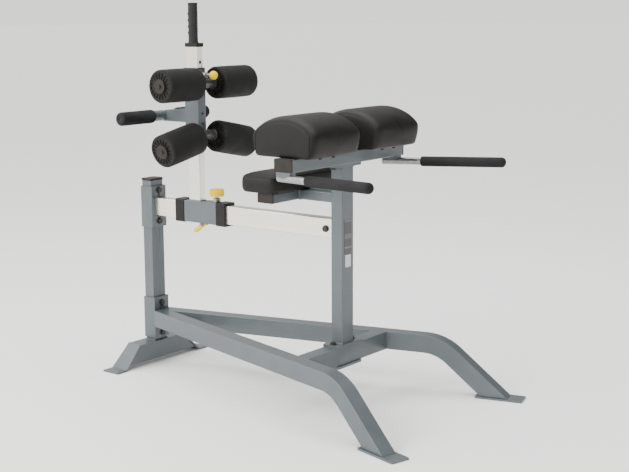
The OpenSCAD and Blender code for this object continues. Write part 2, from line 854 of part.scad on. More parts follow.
// Puts children on the pull pin's axis, +Z pointing forward from the head's face
module pin_place() {
    translate([head_front, 0, pin_z]) rotate([0, 90, 0]) children();
}

module pin_housing() color(bright) place() pin_place() difference() {
    cylinder(r = housing_r, h = housing_l);
    translate([0, 0, -1]) cylinder(r = pin_r + running_gap, h = housing_l + 2);
    translate([0, 0, cavity[0]]) cylinder(r = pin_collar_r + 0.6, h = cavity[1] - cavity[0]);
}

module pull_pin() color(bright) place() pin_place() {
    translate([0, 0, pin_nose - head_front]) cylinder(r = pin_r, h = ball_x - pin_nose);
    translate([0, 0, pin_collar[0]]) cylinder(r = pin_collar_r, h = pin_collar[1] - pin_collar[0]);
}

module pull_pin_ball() color(yellow) place() pin_place() difference() {
    translate([0, 0, ball_x - head_front]) sphere(ball_r);
    cylinder(r = pin_r + fit, h = ball_x - head_front + 0.5);
}

// Square-wire spring between the pin's collar and the housing's front wall
module pull_pin_spring() color(bright) place() pin_place()
    translate([0, 0, pin_collar[1] + 0.1])
        linear_extrude(cavity[1] - pin_collar[1] - 0.2, twist = -900, slices = 36) difference() {
            intersection() {
                circle(6.9, $fn = 12);
                polygon([[0, 0], [20, 0], [20, 20], [-20, 20]]);
            }
            circle(5.6, $fn = 12);
        }

rear_foot();
rear_foot_plates();
rear_post();
lower_bracket();
upper_bracket();
base_rail_left();
base_rail_right();
front_foot_plates();
cross_member();
base_plate();
clamp_plate();
front_post();
crossbar_plates();
crossbar();
tube_caps();
pad_mounts();
pad_boards();
thigh_pad_left();
thigh_pad_right();
knee_arm();
knee_crossbar();
knee_pad();
pad_screws();
handle_tubes();
handle_grips();
rail();
rail_tongue();
frame_bolts();
label_plates();
carriage_sleeve();
carriage_bushes();
clamp_boss();
lever_ears();
lever_pin();
upright();
upright_cap();
grip_stem();
top_grip();
clamp_screw();
clamp_knob();
clamp_lever();
height_sleeve();
height_liners();
axle_tubes();
axles();
foot_bar_arm();
foot_bar();
foot_bar_grips();
pin_housing();
pull_pin();
pull_pin_ball();
pull_pin_spring();
roller_core(0);  // roller_core_1
roller_core(1);  // roller_core_2
roller_core(2);  // roller_core_3
roller_core(3);  // roller_core_4
roller_foam(0);  // roller_foam_1
roller_foam(1);  // roller_foam_2
roller_foam(2);  // roller_foam_3
roller_foam(3);  // roller_foam_4
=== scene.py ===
"""Looks of the roman chair: materials for the CAD parts, and the soft pieces built as meshes.

Lengths are in metres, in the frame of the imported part: +X runs from the rear post to the
bent front legs, +Y is the left side and +Z is up.
"""

import json
import math

import bmesh
import bpy
import numpy as np
from mathutils import Matrix, Vector
from mathutils.bvhtree import BVHTree


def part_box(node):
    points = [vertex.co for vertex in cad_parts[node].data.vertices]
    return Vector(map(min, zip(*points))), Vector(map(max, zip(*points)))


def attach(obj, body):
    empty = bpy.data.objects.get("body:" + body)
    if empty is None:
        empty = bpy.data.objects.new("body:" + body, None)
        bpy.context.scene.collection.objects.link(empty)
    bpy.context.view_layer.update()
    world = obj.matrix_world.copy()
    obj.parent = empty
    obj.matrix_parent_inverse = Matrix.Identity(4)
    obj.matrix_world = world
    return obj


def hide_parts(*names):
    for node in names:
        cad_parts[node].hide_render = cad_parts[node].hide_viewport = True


MM = 0.001

# Camera: where it stands, where it looks, and its lens
CAMERA_SPOT = (2.4371, -3.0195, 1.1908)
CAMERA_AZIMUTH = math.radians(37.92)
CAMERA_PITCH = math.radians(10.16)
CAMERA_ROLL = math.radians(0.29)
CAMERA_LENS = 72.77

# Thigh pads: how far the surface falls to the seams at a pad's ends, and over what length
PAD_SIDE_FALL = 18 * MM
PAD_SIDE_ROUND = 24 * MM
PAD_TOP_FALL = 12 * MM
PAD_TOP_ROUND = 34 * MM
PAD_SWELL = 2 * MM
# How much of a thigh pad's arch is an ellipse, which meets the sides smoothly; the rest is an arc
ROUND_SHARE = 0.4

# All pads: voxel size and cloth pressure of the simulation, and radius of the piping
PAD_VOXEL = 5 * MM
PAD_PRESSURE = 4
SEAM_R = 1.3 * MM

# Handles under the crossbar, and the start of the foot bar's grips
HANDLE_SPLAY = math.radians(13.6)
HANDLE_RISE = math.radians(1.7)
HANDLE_R = 11 * MM
HANDLE_GRIP_R = 15.5 * MM
HANDLE_BARE = 128 * MM
FOOT_GRIP_START = 57 * MM

# Screws on the front of the roller head's sleeve
SCREW_HEIGHTS = (0.858, 0.826)

# The floor is a square, reaching this far from the bench
FLOOR_HALF = 150.0

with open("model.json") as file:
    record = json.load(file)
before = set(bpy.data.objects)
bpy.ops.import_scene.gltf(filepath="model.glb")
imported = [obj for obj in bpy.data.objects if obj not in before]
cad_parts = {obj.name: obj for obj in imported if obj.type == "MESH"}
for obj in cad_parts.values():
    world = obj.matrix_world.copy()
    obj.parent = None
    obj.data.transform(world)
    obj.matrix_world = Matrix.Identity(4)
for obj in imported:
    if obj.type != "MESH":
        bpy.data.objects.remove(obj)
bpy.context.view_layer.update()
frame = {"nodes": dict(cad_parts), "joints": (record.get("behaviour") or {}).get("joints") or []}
nodes = frame["nodes"]
joints = {joint["name"]: joint for joint in frame["joints"]}


# ---------------------------------------------------------------- materials


def principled(name, color, roughness, metallic=0.0, **sockets):
    """A Principled material with constants on its own sockets."""
    material = bpy.data.materials.new(name)
    material.use_nodes = True
    shader = material.node_tree.nodes["Principled BSDF"]
    shader.inputs["Base Color"].default_value = (*color, 1)
    shader.inputs["Roughness"].default_value = roughness
    shader.inputs["Metallic"].default_value = metallic
    for socket, value in sockets.items():
        shader.inputs[socket.replace("_", " ")].default_value = value
    return material


def texture(material, kind, scale, stretch=(1, 1, 1), **settings):
    """A procedural texture in the object's own metres, stretched along its axes."""
    tree = material.node_tree
    where = tree.nodes.new("ShaderNodeTexCoord")
    mapping = tree.nodes.new("ShaderNodeMapping")
    mapping.inputs["Scale"].default_value = stretch
    node = tree.nodes.new(f"ShaderNodeTex{kind}")
    node.inputs["Scale"].default_value = scale
    for socket, value in settings.items():
        node.inputs[socket].default_value = value
    tree.links.new(where.outputs["Object"], mapping.inputs["Vector"])
    tree.links.new(mapping.outputs["Vector"], node.inputs["Vector"])
    return node


def value_of(node):
    """The texture's number output."""
    for name in ("Fac", "Distance", "Result", "Value"):
        if name in node.outputs:
            return node.outputs[name]
    return node.outputs[0]


def ramp(material, source, low, high):
    """Maps the middle of a texture's range to low..high."""
    node = material.node_tree.nodes.new("ShaderNodeMapRange")
    node.inputs["From Min"].default_value = 0.3
    node.inputs["From Max"].default_value = 0.7
    node.inputs["To Min"].default_value = low
    node.inputs["To Max"].default_value = high
    material.node_tree.links.new(source, node.inputs["Value"])
    return node.outputs["Result"]


def tint(material, source, dark, light):
    """Colours the surface between two colours by a texture."""
    tree = material.node_tree
    mix = tree.nodes.new("ShaderNodeMix")
    mix.data_type = "RGBA"
    mix.inputs["A"].default_value = (*dark, 1)
    mix.inputs["B"].default_value = (*light, 1)
    tree.links.new(ramp(material, source, 0, 1), mix.inputs["Factor"])
    tree.links.new(mix.outputs["Result"], tree.nodes["Principled BSDF"].inputs["Base Color"])
    return mix


def uneven_gloss(material, source, low, high):
    """Lets the roughness wander between two values."""
    shader = material.node_tree.nodes["Principled BSDF"]
    material.node_tree.links.new(ramp(material, source, low, high), shader.inputs["Roughness"])


def bump(material, source, height, strength=1.0, invert=False):
    """Adds relief of a given height, on top of any relief that is there."""
    tree = material.node_tree
    normal = tree.nodes["Principled BSDF"].inputs["Normal"]
    node = tree.nodes.new("ShaderNodeBump")
    node.invert = invert
    node.inputs["Strength"].default_value = strength
    node.inputs["Distance"].default_value = height
    tree.links.new(source, node.inputs["Height"])
    if normal.is_linked:
        tree.links.new(normal.links[0].from_socket, node.inputs["Normal"])
    tree.links.new(node.outputs["Normal"], normal)


def powder_coat():
    """Silver-grey metallic powder coat with a fine orange peel."""
    material = principled("powder_coat", (0.092, 0.108, 0.118), 0.42, 0.35, Coat_Weight=0.2)
    cloudy = texture(material, "Noise", 14, Detail=5)
    fleck = texture(material, "Noise", 2600, Detail=2)
    tint(material, value_of(cloudy), (0.085, 0.100, 0.110), (0.101, 0.118, 0.128))
    uneven_gloss(material, value_of(cloudy), 0.38, 0.48)
    bump(material, value_of(texture(material, "Noise", 420, Detail=3)), 0.00025, 0.5)
    bump(material, value_of(fleck), 0.00004, 0.4)
    return material


def satin_chrome(name, stretch):
    """Satin chrome with a fine brushed grain along the tube."""
    material = principled(name, (0.92, 0.88, 0.79), 0.22, 1.0)
    brushed = texture(material, "Noise", 1500, stretch, Detail=4)
    smear = texture(material, "Noise", 9, Detail=4)
    tint(material, value_of(smear), (0.89, 0.85, 0.755), (0.94, 0.905, 0.82))
    uneven_gloss(material, value_of(brushed), 0.24, 0.34)
    bump(material, value_of(brushed), 0.00003, 0.25)
    return material


def zinc_steel(name, shade):
    """Zinc plated steel with a faint grain and dull patches, as bright as its shade."""
    material = principled(name, (shade, shade, 1.03 * shade), 0.34, 0.9)
    patches = texture(material, "Noise", 60, Detail=5)
    tint(material, value_of(patches), (0.82 * shade, 0.83 * shade, 0.85 * shade),
         (1.18 * shade, 1.19 * shade, 1.21 * shade))
    uneven_gloss(material, value_of(patches), 0.28, 0.42)
    bump(material, value_of(texture(material, "Noise", 1800, Detail=3)), 0.00003, 0.4)
    return material


def black_oxide():
    """Black oxide bolts with lighter worn patches."""
    material = principled("black_oxide", (0.028, 0.028, 0.03), 0.42, 0.7)
    patches = texture(material, "Noise", 300, Detail=4)
    tint(material, value_of(patches), (0.02, 0.02, 0.021), (0.07, 0.068, 0.066))
    bump(material, value_of(patches), 0.0001, 0.3)
    return material


def vinyl():
    """Black upholstery vinyl with a leather grain and a soft sheen."""
    material = principled("vinyl", (0.0075, 0.0068, 0.0060), 0.5, Specular_IOR_Level=0.2)
    cells = texture(material, "Voronoi", 620)
    creases = texture(material, "Noise", 900, Detail=4)
    cloudy = texture(material, "Noise", 11, Detail=4)
    tint(material, value_of(cloudy), (0.0065, 0.0060, 0.0054), (0.0100, 0.0091, 0.0082))
    uneven_gloss(material, value_of(cloudy), 0.44, 0.56)
    bump(material, value_of(cells), 0.00035, 0.35, invert=True)
    bump(material, value_of(creases), 0.00015, 0.35)
    return material


def foam(name, color, pores):
    """Closed-cell foam: matt, with fine pores."""
    light = tuple(1.5 * c for c in color)
    material = principled(name, color, 0.75, Specular_IOR_Level=0.25)
    cells = texture(material, "Voronoi", pores)
    cloudy = texture(material, "Noise", 25, Detail=5)
    tint(material, value_of(cloudy), color, light)
    uneven_gloss(material, value_of(cloudy), 0.66, 0.84)
    bump(material, value_of(cells), 0.0005, 0.35)
    bump(material, value_of(texture(material, "Noise", 2200, Detail=3)), 0.0001, 0.5)
    return material


def moulded(name, color, roughness, spread=0.25, shine=0.25):
    """Moulded plastic with a fine spark-eroded skin."""
    dark = tuple((1 - spread) * c for c in color)
    light = tuple((1 + spread) * c for c in color)
    material = principled(name, color, roughness, Specular_IOR_Level=shine)
    cloudy = texture(material, "Noise", 45, Detail=5)
    tint(material, value_of(cloudy), dark, light)
    uneven_gloss(material, value_of(cloudy), roughness - 0.06, roughness + 0.08)
    bump(material, value_of(texture(material, "Noise", 1300, Detail=3)), 0.00012, 0.4)
    return material


def plywood():
    """Plywood stained nearly black, with its veneers seen on the edge."""
    material = principled("plywood", (0.02, 0.016, 0.013), 0.6)
    grain = texture(material, "Noise", 90, (1, 0.06, 1), Detail=6)
    layers = texture(material, "Wave", 260, (0, 0, 1), Distortion=1.0)
    tint(material, value_of(grain), (0.016, 0.013, 0.011), (0.03, 0.024, 0.019))
    bump(material, value_of(layers), 0.0002, 0.3)
    return material


def label_film():
    """Two blank stickers: a dark one with a pale band, and a white one under it."""
    material = principled("label_film", (0.1, 0.1, 0.11), 0.3, Coat_Weight=0.4)
    tree = material.node_tree
    where = tree.nodes.new("ShaderNodeTexCoord")
    split = tree.nodes.new("ShaderNodeSeparateXYZ")
    bands = tree.nodes.new("ShaderNodeValToRGB")
    low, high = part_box("label_plates")
    reach = tree.nodes.new("ShaderNodeMapRange")
    reach.inputs["From Min"].default_value = low.z
    reach.inputs["From Max"].default_value = high.z
    bands.color_ramp.interpolation = "CONSTANT"
    stops = [(0.0, 0.55), (0.26, 0.02), (0.40, 0.11), (0.43, 0.02), (0.60, 0.07), (0.70, 0.02), (0.95, 0.08)]
    ends = bands.color_ramp.elements
    for element, (spot, grey) in zip([ends[0], ends[1]], stops[:2]):
        element.position = spot
        element.color = (grey, grey, 1.03 * grey, 1)
    for spot, grey in stops[2:]:
        element = ends.new(spot)
        element.color = (grey, grey, 1.03 * grey, 1)
    tree.links.new(where.outputs["Object"], split.inputs["Vector"])
    tree.links.new(split.outputs["Z"], reach.inputs["Value"])
    tree.links.new(reach.outputs["Result"], bands.inputs["Fac"])
    tree.links.new(bands.outputs["Color"], tree.nodes["Principled BSDF"].inputs["Base Color"])
    bump(material, value_of(texture(material, "Noise", 700, Detail=3)), 0.00005, 0.3)
    return material


MATERIALS = {
    "powder_coat": powder_coat(),
    "chrome_rail": satin_chrome("chrome_rail", (0.02, 1, 1)),
    "chrome_upright": satin_chrome("chrome_upright", (1, 1, 0.02)),
    "zinc_steel": zinc_steel("zinc_steel", 0.32),
    "dull_steel": zinc_steel("dull_steel", 0.11),
    "black_oxide": black_oxide(),
    "vinyl": vinyl(),
    "roller_foam": foam("roller_foam", (0.0070, 0.0068, 0.0068), 900),
    "grip_foam": foam("grip_foam", (0.0060, 0.0062, 0.0070), 1100),
    "rubber": foam("rubber", (0.016, 0.016, 0.0155), 700),
    "black_plastic": moulded("black_plastic", (0.0080, 0.0072, 0.0068), 0.42),
    "cap_plastic": moulded("cap_plastic", (0.0165, 0.0138, 0.0110), 0.5),
    "yellow_plastic": moulded("yellow_plastic", (0.80, 0.57, 0.0005), 0.42, 0.06, 0.08),
    "plywood": plywood(),
    "dark_steel": black_oxide(),
    "label_film": label_film(),
    "thread": moulded("thread", (0.02, 0.018, 0.017), 0.6),
}

# Finish of each CAD node; those that aren't listed are powder coated
FINISH = {
    "rail": "chrome_rail",
    "upright": "chrome_upright",
    "axle_tubes": "dull_steel",
    "pin_housing": "zinc_steel",
    "pull_pin": "zinc_steel",
    "pull_pin_spring": "zinc_steel",
    "clamp_screw": "zinc_steel",
    "lever_pin": "zinc_steel",
    "grip_stem": "zinc_steel",
    "handle_tubes": "zinc_steel",
    "clamp_boss": "zinc_steel",
    "tube_caps": "cap_plastic",
    "carriage_bushes": "black_plastic",
    "upright_cap": "black_plastic",
    "height_liners": "black_plastic",
    "frame_bolts": "black_oxide",
    "pad_screws": "black_oxide",
    "axles": "cap_plastic",
    "clamp_knob": "yellow_plastic",
    "clamp_lever": "yellow_plastic",
    "pull_pin_ball": "yellow_plastic",
    "pad_boards": "plywood",
    "label_plates": "label_film",
    "roller_core_1": "black_plastic",
    "roller_core_2": "black_plastic",
    "roller_core_3": "black_plastic",
    "roller_core_4": "black_plastic",
}
# Width of the rounded edges on the CAD nodes
EDGE = {
    "base_rail_left": 2.5 * MM, "base_rail_right": 2.5 * MM, "cross_member": 2.5 * MM,
    "rear_foot": 2.0 * MM, "rear_foot_plates": 1.5 * MM, "lower_bracket": 1.5 * MM,
    "upper_bracket": 1.5 * MM, "foot_bar_arm": 2.0 * MM, "carriage_bushes": 1.0 * MM,
    "clamp_knob": 0.5 * MM, "pull_pin_spring": 0, "pull_pin_ball": 0, "label_plates": 0,
    "roller_core_1": 0.5 * MM, "roller_core_2": 0.5 * MM, "roller_core_3": 0.5 * MM,
    "roller_core_4": 0.5 * MM, "frame_bolts": 0.5 * MM, "pad_screws": 0.4 * MM,
}
COMMON_EDGE = 0.8 * MM


# Bent tubes whose bend ends need merging before their edges are rounded
MERGE = {"base_rail_left": 1.5 * MM, "base_rail_right": 1.5 * MM}


def soft_edges(node, width):
    """Rounds a node's edges and keeps its flat faces flat."""
    weld_points = node.modifiers.new("weld", "WELD")
    weld_points.merge_threshold = MERGE.get(node.name, 0.01 * MM)
    if node.name in MERGE:
        flat = node.modifiers.new("flat", "DECIMATE")
        flat.decimate_type = "DISSOLVE"
        flat.angle_limit = math.radians(0.5)
    bevel = node.modifiers.new("edge", "BEVEL")
    bevel.width = width
    bevel.segments = 3
    bevel.limit_method = "ANGLE"
    bevel.angle_limit = math.radians(35)
    normals = node.modifiers.new("normals", "WEIGHTED_NORMAL")
    normals.weight = 80
    normals.keep_sharp = False


def finish_cad_nodes():
    """Gives each CAD node its material and softly rounded edges."""
    for name, node in nodes.items():
        node.data.materials.clear()
        node.data.materials.append(MATERIALS[FINISH.get(name, "powder_coat")])
        width = EDGE.get(name, COMMON_EDGE)
        if width:
            soft_edges(node, width)


# ---------------------------------------------------------------- mesh tools


def new_piece(name, mesh, material, body):
    """Links a mesh as a piece with a material, riding on a body."""
    piece = bpy.data.objects.new(name, mesh)
    bpy.context.scene.collection.objects.link(piece)
    mesh.materials.clear()
    mesh.materials.append(MATERIALS[material])
    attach(piece, body)
    return piece


def mesh_from(name, points, faces, smooth=True):
    mesh = bpy.data.meshes.new(name)
    mesh.from_pydata([tuple(p) for p in points], [], faces)
    mesh.polygons.foreach_set("use_smooth", [smooth] * len(mesh.polygons))
    mesh.update()
    return mesh


def frame_on(origin, axis):
    """Matrix whose +Z runs along axis from origin."""
    turn = Vector(axis).normalized().to_track_quat("Z", "Y").to_matrix().to_4x4()
    return Matrix.Translation(origin) @ turn


def lathe(name, profile, place, segments=96):
    """Closed profile of (radius, height) turned round +Z of place."""
    points, faces = [], []
    count = len(profile)
    for i in range(segments):
        angle = 2 * math.pi * i / segments
        for radius, height in profile:
            points.append(place @ Vector((radius * math.cos(angle), radius * math.sin(angle), height)))
    for i in range(segments):
        following = (i + 1) % segments
        for k in range(count):
            after = (k + 1) % count
            faces.append((i * count + k, following * count + k, following * count + after, i * count + after))
    return mesh_from(name, points, faces)


def fillet(centre, radius, start, end, steps=6):
    """Points on an arc, angles in degrees."""
    turns = [math.radians(start + (end - start) * i / steps) for i in range(steps + 1)]
    return [(centre[0] + radius * math.cos(a), centre[1] + radius * math.sin(a)) for a in turns]


def tube_along(name, path, radius, closed=False, sides=10):
    """Round tube along a path, with a radius or a radius for each point."""
    path = [Vector(p) for p in path]
    radii = radius if isinstance(radius, list) else [radius] * len(path)
    points, faces = [], []
    side = None
    for i, spot in enumerate(path):
        before = path[i - 1] if i or closed else spot
        after = path[(i + 1) % len(path)] if i + 1 < len(path) or closed else spot
        direction = (after - before).normalized()
        side = side or direction.orthogonal().normalized()
        side = (side - side.dot(direction) * direction).normalized()
        up = direction.cross(side)
        for k in range(sides):
            angle = 2 * math.pi * k / sides
            points.append(spot + radii[i] * (math.cos(angle) * side + math.sin(angle) * up))
    rings = len(path)
    for i in range(rings if closed else rings - 1):
        for k in range(sides):
            a, b = i * sides, (i + 1) % rings * sides
            faces.append((a + k, a + (k + 1) % sides, b + (k + 1) % sides, b + k))
    if not closed:
        faces.append(tuple(reversed(range(sides))))
        faces.append(tuple(range((rings - 1) * sides, rings * sides)))
    return mesh_from(name, points, faces)


def joined(name, meshes):
    """One mesh made of several."""
    work = bmesh.new()
    for mesh in meshes:
        work.from_mesh(mesh)
    made = bpy.data.meshes.new(name)
    work.to_mesh(made)
    work.free()
    made.polygons.foreach_set("use_smooth", [True] * len(made.polygons))
    return made


def resample(path, step, closed=False):
    """Points at an even spacing along a path."""
    path = [Vector(p) for p in path]
    if closed:
        path = path + [path[0]]
    lengths = [0.0]
    for a, b in zip(path, path[1:]):
        lengths.append(lengths[-1] + (b - a).length)
    count = max(2, round(lengths[-1] / step))
    marks = [lengths[-1] * i / count for i in range(count if closed else count + 1)]
    spots, k = [], 0
    for mark in marks:
        while k < len(path) - 2 and lengths[k + 1] < mark:
            k += 1
        share = (mark - lengths[k]) / max(1e-9, lengths[k + 1] - lengths[k])
        spots.append(path[k].lerp(path[k + 1], share))
    return spots


# ---------------------------------------------------------------- padded pieces


def inflate(piece, voxel, pinned, pressure, cap):
    """Remeshes a piece and swells it as cloth. Points where pinned(co) holds stay in place."""
    remesh = piece.modifiers.new("voxels", "REMESH")
    remesh.voxel_size = voxel
    bake(piece)
    start = np.array([v.co for v in piece.data.vertices])
    held = piece.vertex_groups.new(name="held")
    held.add([v.index for v in piece.data.vertices if pinned(v.co)], 1.0, "REPLACE")
    cloth = piece.modifiers.new("cloth", "CLOTH")
    cloth.settings.vertex_group_mass = "held"
    cloth.settings.use_pressure = True
    cloth.settings.uniform_pressure_force = pressure
    cloth.settings.effector_weights.gravity = 0
    cloth.settings.quality = 6
    for number in range(1, 21):
        bpy.context.scene.frame_set(number)
    bake(piece)
    bpy.context.scene.frame_set(1)
    ends = np.array([v.co for v in piece.data.vertices])
    moves = ends - start
    lengths = np.linalg.norm(moves, axis=1, keepdims=True)
    soft_cap = cap * np.tanh(lengths / cap)
    ends = start + moves * soft_cap / np.maximum(lengths, 1e-9)
    piece.data.vertices.foreach_set("co", ends.astype(np.float32).ravel())
    piece.data.polygons.foreach_set("use_smooth", [True] * len(piece.data.polygons))
    piece.data.update()


def bake(piece):
    """Applies the piece's modifiers to its mesh."""
    graph = bpy.context.evaluated_depsgraph_get()
    mesh = bpy.data.meshes.new_from_object(piece.evaluated_get(graph))
    piece.modifiers.clear()
    piece.data = mesh


def relax(piece, rounds, held=None):
    """Evens out the voxel steps without shrinking the piece."""
    smooth = piece.modifiers.new("smooth", "CORRECTIVE_SMOOTH")
    smooth.iterations = rounds
    smooth.use_only_smooth = True
    smooth.factor = 0.5
    if held:
        smooth.vertex_group = held
    bake(piece)


def subdivided(piece):
    """One applied level of subdivision."""
    finer = piece.modifiers.new("finer", "SUBSURF")
    finer.levels = finer.render_levels = 1
    bake(piece)
    piece.data.polygons.foreach_set("use_smooth", [True] * len(piece.data.polygons))


def loft(name, loops):
    """Closed solid through loops of points that all have the same count."""
    count = len(loops[0])
    points = [p for loop in loops for p in loop]
    faces = [tuple(reversed(range(count)))]
    for i in range(len(loops) - 1):
        a, b = i * count, (i + 1) * count
        for k in range(count):
            after = (k + 1) % count
            faces.append((a + k, a + after, b + after, b + k))
    faces.append(tuple(range((len(loops) - 1) * count, len(loops) * count)))
    return mesh_from(name, points, faces, smooth=False)


def on_surface(piece, path, lift):
    """Puts a path on the piece's surface, lifted a little."""
    graph = bpy.context.evaluated_depsgraph_get()
    tree = BVHTree.FromObject(piece, graph)
    spots = []
    for point in path:
        near, normal, _, _ = tree.find_nearest(Vector(point))
        spots.append(near + lift * normal)
    return spots


def stitches(path, step=5 * MM, length=3.2 * MM, radius=0.45 * MM):
    """Short threads in a row along a path."""
    spots = resample(path, step)
    made = []
    for a, b in zip(spots, spots[1:]):
        forward = (b - a).normalized() * length / 2
        middle = (a + b) / 2
        made.append(tube_along("stitch", [middle - forward, middle, middle + forward],
                               [0.6 * radius, radius, 0.6 * radius], sides=6))
    return made


def side_fall(distance):
    """Share of the fall at a pad's sides, at a distance from its end: a round corner."""
    share = max(0.0, 1 - distance / PAD_SIDE_ROUND)
    return 1 - math.sqrt(1 - share ** 2)


def top_fall(distance):
    """Share of the fall at a pad's top, at a distance from its end: a slope with a crease."""
    return max(0.0, 1 - distance / PAD_TOP_ROUND) ** 2


def thigh_section(low, high, distance, steps=28):
    """Section (x, z) of a thigh pad, from the rear foot over the arch to the front foot."""
    middle = (low.x + high.x) / 2
    half = (high.x - low.x) / 2 - 1 * MM - side_fall(distance) * PAD_SIDE_FALL
    foot = (high.x - low.x) / 2 - 20 * MM - 0.1 * side_fall(distance) * PAD_SIDE_FALL
    waist_z = low.z + 0.53 * (high.z - low.z)
    rise = high.z + PAD_SWELL - waist_z - top_fall(distance) * PAD_TOP_FALL
    flank = []
    for i in range(8):
        share = i / 8
        x = foot + (half - foot) * (1 - (1 - share) ** 2)
        flank.append((x, low.z + share * (waist_z - low.z)))
    radius = (half ** 2 + rise ** 2) / (2 * rise)
    arch = [math.pi * (i / steps - 0.5) for i in range(steps + 1)]
    crown = [(half * math.sin(a), rise * math.cos(a)) for a in arch]
    crown = [(x, ROUND_SHARE * z + (1 - ROUND_SHARE) * (rise - radius + math.sqrt(radius ** 2 - x ** 2)))
             for x, z in crown]
    points = [(-x, z) for x, z in flank]
    points += [(x, waist_z + z) for x, z in crown]
    points += [(x, z) for x, z in reversed(flank)]
    return [(middle + x, z) for x, z in points]


def thigh_pad(side):
    """Crowned pad: flat underneath, seams along the arched edges of both ends."""
    node = f"thigh_pad_{side}"
    low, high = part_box(node)
    ends = (low.y + 1.5 * MM, high.y - 1.5 * MM)
    marks = [0, 1.5, 4, 8, 13, 19, 26, 34]
    places = [(ends[0] + m * MM, m * MM) for m in marks]
    places += [(ends[1] - m * MM, m * MM) for m in reversed(marks)]
    loops = [[(x, y, z) for x, z in thigh_section(low, high, m)] for y, m in places]
    pad = new_piece(f"thigh_cushion_{side}", loft("cushion", loops), "vinyl", "frame")
    seam = thigh_section(low, high, 0)

    def pinned(co):
        near_end = min(abs(co.y - ends[0]), abs(co.y - ends[1])) < 4 * MM
        near_rim = min(math.hypot(co.x - x, co.z - z) for x, z in seam) < 8 * MM
        return co.z < low.z + 6 * MM or (near_end and near_rim)

    inflate(pad, PAD_VOXEL, pinned, PAD_PRESSURE, 7 * MM)
    relax(pad, 4)
    subdivided(pad)
    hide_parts(node)
    trims, threads = [], []
    for y, inward in ((ends[0], 1), (ends[1], -1)):
        path = resample([(x, y, z) for x, z in seam[1:-1]], 6 * MM)
        trims.append(tube_along("piping", on_surface(pad, path, 0.2 * MM), SEAM_R))
        beside = [p + Vector((0, inward * 6 * MM, 0)) for p in path[3:-3]]
        threads += stitches(on_surface(pad, beside, 0.1 * MM))
    new_piece(f"thigh_piping_{side}", joined("piping", trims), "vinyl", "frame")
    new_piece(f"thigh_stitches_{side}", joined("thread", threads), "thread", "frame")


def rounded_plan(low, high, radius, steps=6):
    """Rounded rectangle of (x, y) points."""
    corners = [
        ((high.x - radius, high.y - radius), 0), ((low.x + radius, high.y - radius), 90),
        ((low.x + radius, low.y + radius), 180), ((high.x - radius, low.y + radius), 270),
    ]
    points = []
    for centre, start in corners:
        points += fillet(centre, radius, start, start + 90, steps)
    return points


def knee_cushion():
    """Low pad with a crowned top, and a seam round the top's edge."""
    low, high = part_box("knee_pad")
    seam_z = high.z - 13 * MM
    rings = [(low.z, 6), (low.z + 5 * MM, 3), (low.z + 16 * MM, 1), (seam_z - 12 * MM, 1), (seam_z, 4)]
    rings += [(seam_z + 4 * MM, 9), (high.z - 5 * MM, 18), (high.z - 2 * MM, 30), (high.z, 48)]
    loops = []
    for z, inset in rings:
        edge = Vector((inset * MM, inset * MM, 0))
        plan = rounded_plan(low + edge, high - edge, max(10, 24 - 0.3 * inset) * MM)
        loops.append([(x, y, z) for x, y in plan])
    pad = new_piece("knee_cushion", loft("cushion", loops), "vinyl", "frame")
    rim = resample(loops[4], 4 * MM, closed=True)

    def pinned(co):
        return co.z < low.z + 5 * MM or min((co - p).length for p in rim) < 4 * MM

    inflate(pad, PAD_VOXEL, pinned, PAD_PRESSURE, 6 * MM)
    relax(pad, 4)
    subdivided(pad)
    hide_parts("knee_pad")
    path = on_surface(pad, resample(loops[4], 6 * MM, closed=True), 0.2 * MM)
    new_piece("knee_piping", tube_along("piping", path, SEAM_R, closed=True), "vinyl", "frame")
    below = [p + Vector((0, 0, -6 * MM)) for p in path]
    threads = stitches(on_surface(pad, below, 0.1 * MM))
    new_piece("knee_stitches", joined("thread", threads), "thread", "frame")


# ---------------------------------------------------------------- foam and rubber


def roller_foams():
    """Foam tube of each roller, with soft shoulders round the plastic caps."""
    names = ["upper_left", "upper_right", "lower_left", "lower_right"]
    low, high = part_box("roller_foam_1")
    core_low, core_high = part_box("roller_core_1")
    near, far, outer = low.y, high.y, (high.z - low.z) / 2
    cap_r, cap_t, bore = (core_high.z - core_low.z) / 2 + 0.3 * MM, 7.2 * MM, 22.3 * MM
    ease = outer - cap_r - 0.4 * MM
    length = far - near
    profile = [(bore, near + cap_t), (cap_r, near + cap_t)]
    profile += fillet((outer - ease, near + ease), ease, 270, 360, 8)
    profile += [(outer + 0.4 * MM, near + 0.25 * length), (outer + 0.6 * MM, near + 0.5 * length)]
    profile += [(outer + 0.4 * MM, near + 0.75 * length)]
    profile += fillet((outer - ease, far - ease), ease, 0, 90, 8)
    profile += [(cap_r, far - cap_t), (bore, far - cap_t)]
    for i, name in enumerate(names):
        joint = joints[f"roller_{name}_spin"]
        mesh = lathe("foam", profile, frame_on(joint["pos_m"], joint["axis"]))
        roller = new_piece(f"foam_{name}", mesh, "roller_foam", f"roller_{name}")
        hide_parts(f"roller_foam_{i + 1}")


def handle_line(side):
    """Start, direction and length of a handle, from the box of both handle tubes."""
    low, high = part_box("handle_tubes")
    direction = Vector((math.cos(HANDLE_RISE) * math.cos(HANDLE_SPLAY),
                        math.cos(HANDLE_RISE) * math.sin(HANDLE_SPLAY), math.sin(HANDLE_RISE)))
    spread = [HANDLE_R * math.sqrt(1 - part ** 2) for part in direction]
    length = (high.x - low.x - 2 * spread[0]) / direction.x
    start = Vector((low.x + spread[0], high.y - spread[1] - length * direction.y, low.z + spread[2]))
    mirror = Vector((1, side, 1))
    return start * mirror, direction * mirror, length


